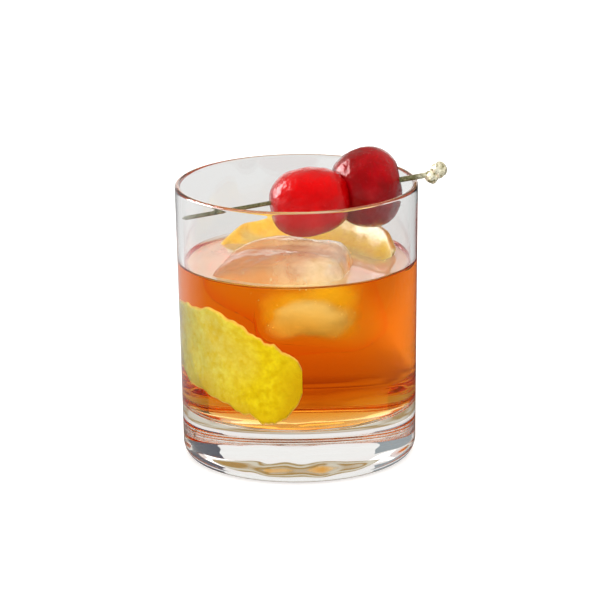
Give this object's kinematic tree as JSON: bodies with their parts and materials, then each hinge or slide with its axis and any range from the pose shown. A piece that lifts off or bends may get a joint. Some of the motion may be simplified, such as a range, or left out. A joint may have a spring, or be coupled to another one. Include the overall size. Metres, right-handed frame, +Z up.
{
  "type": "old fashioned cocktail",
  "caption": "Amber cocktail in a short straight-sided glass with a thick base, with ice, lemon peel, and cherries on a metal pick laid across the rim.",
  "frame": {"origin": "centre of the glass's foot, on the surface it stands on", "axes": "+Z up, +Y away from the viewer of the picture, +X to the viewer's right, where the pick's knob lies over the rim"},
  "size_m": [0.092, 0.082, 0.1042],
  "materials": {
    "clear_glass": "clear polished glass with a rounded rim and a thick base",
    "amber_drink": "clear amber spirit",
    "clear_ice": "wet ice with a cloudy heart",
    "lemon_peel": "pored yellow zest outside, cream pith inside",
    "cherry": "wet translucent red skin",
    "pick_metal": "polished pale metal"
  },
  "bodies": {
    "root": {"glass": "clear_glass", "drink": "amber_drink", "ice": "clear_ice", "peel_front": "lemon_peel", "peel_back": "lemon_peel", "cherry_left": "cherry", "cherry_right": "cherry", "pick": "pick_metal"}
  },
  "joints": []
}
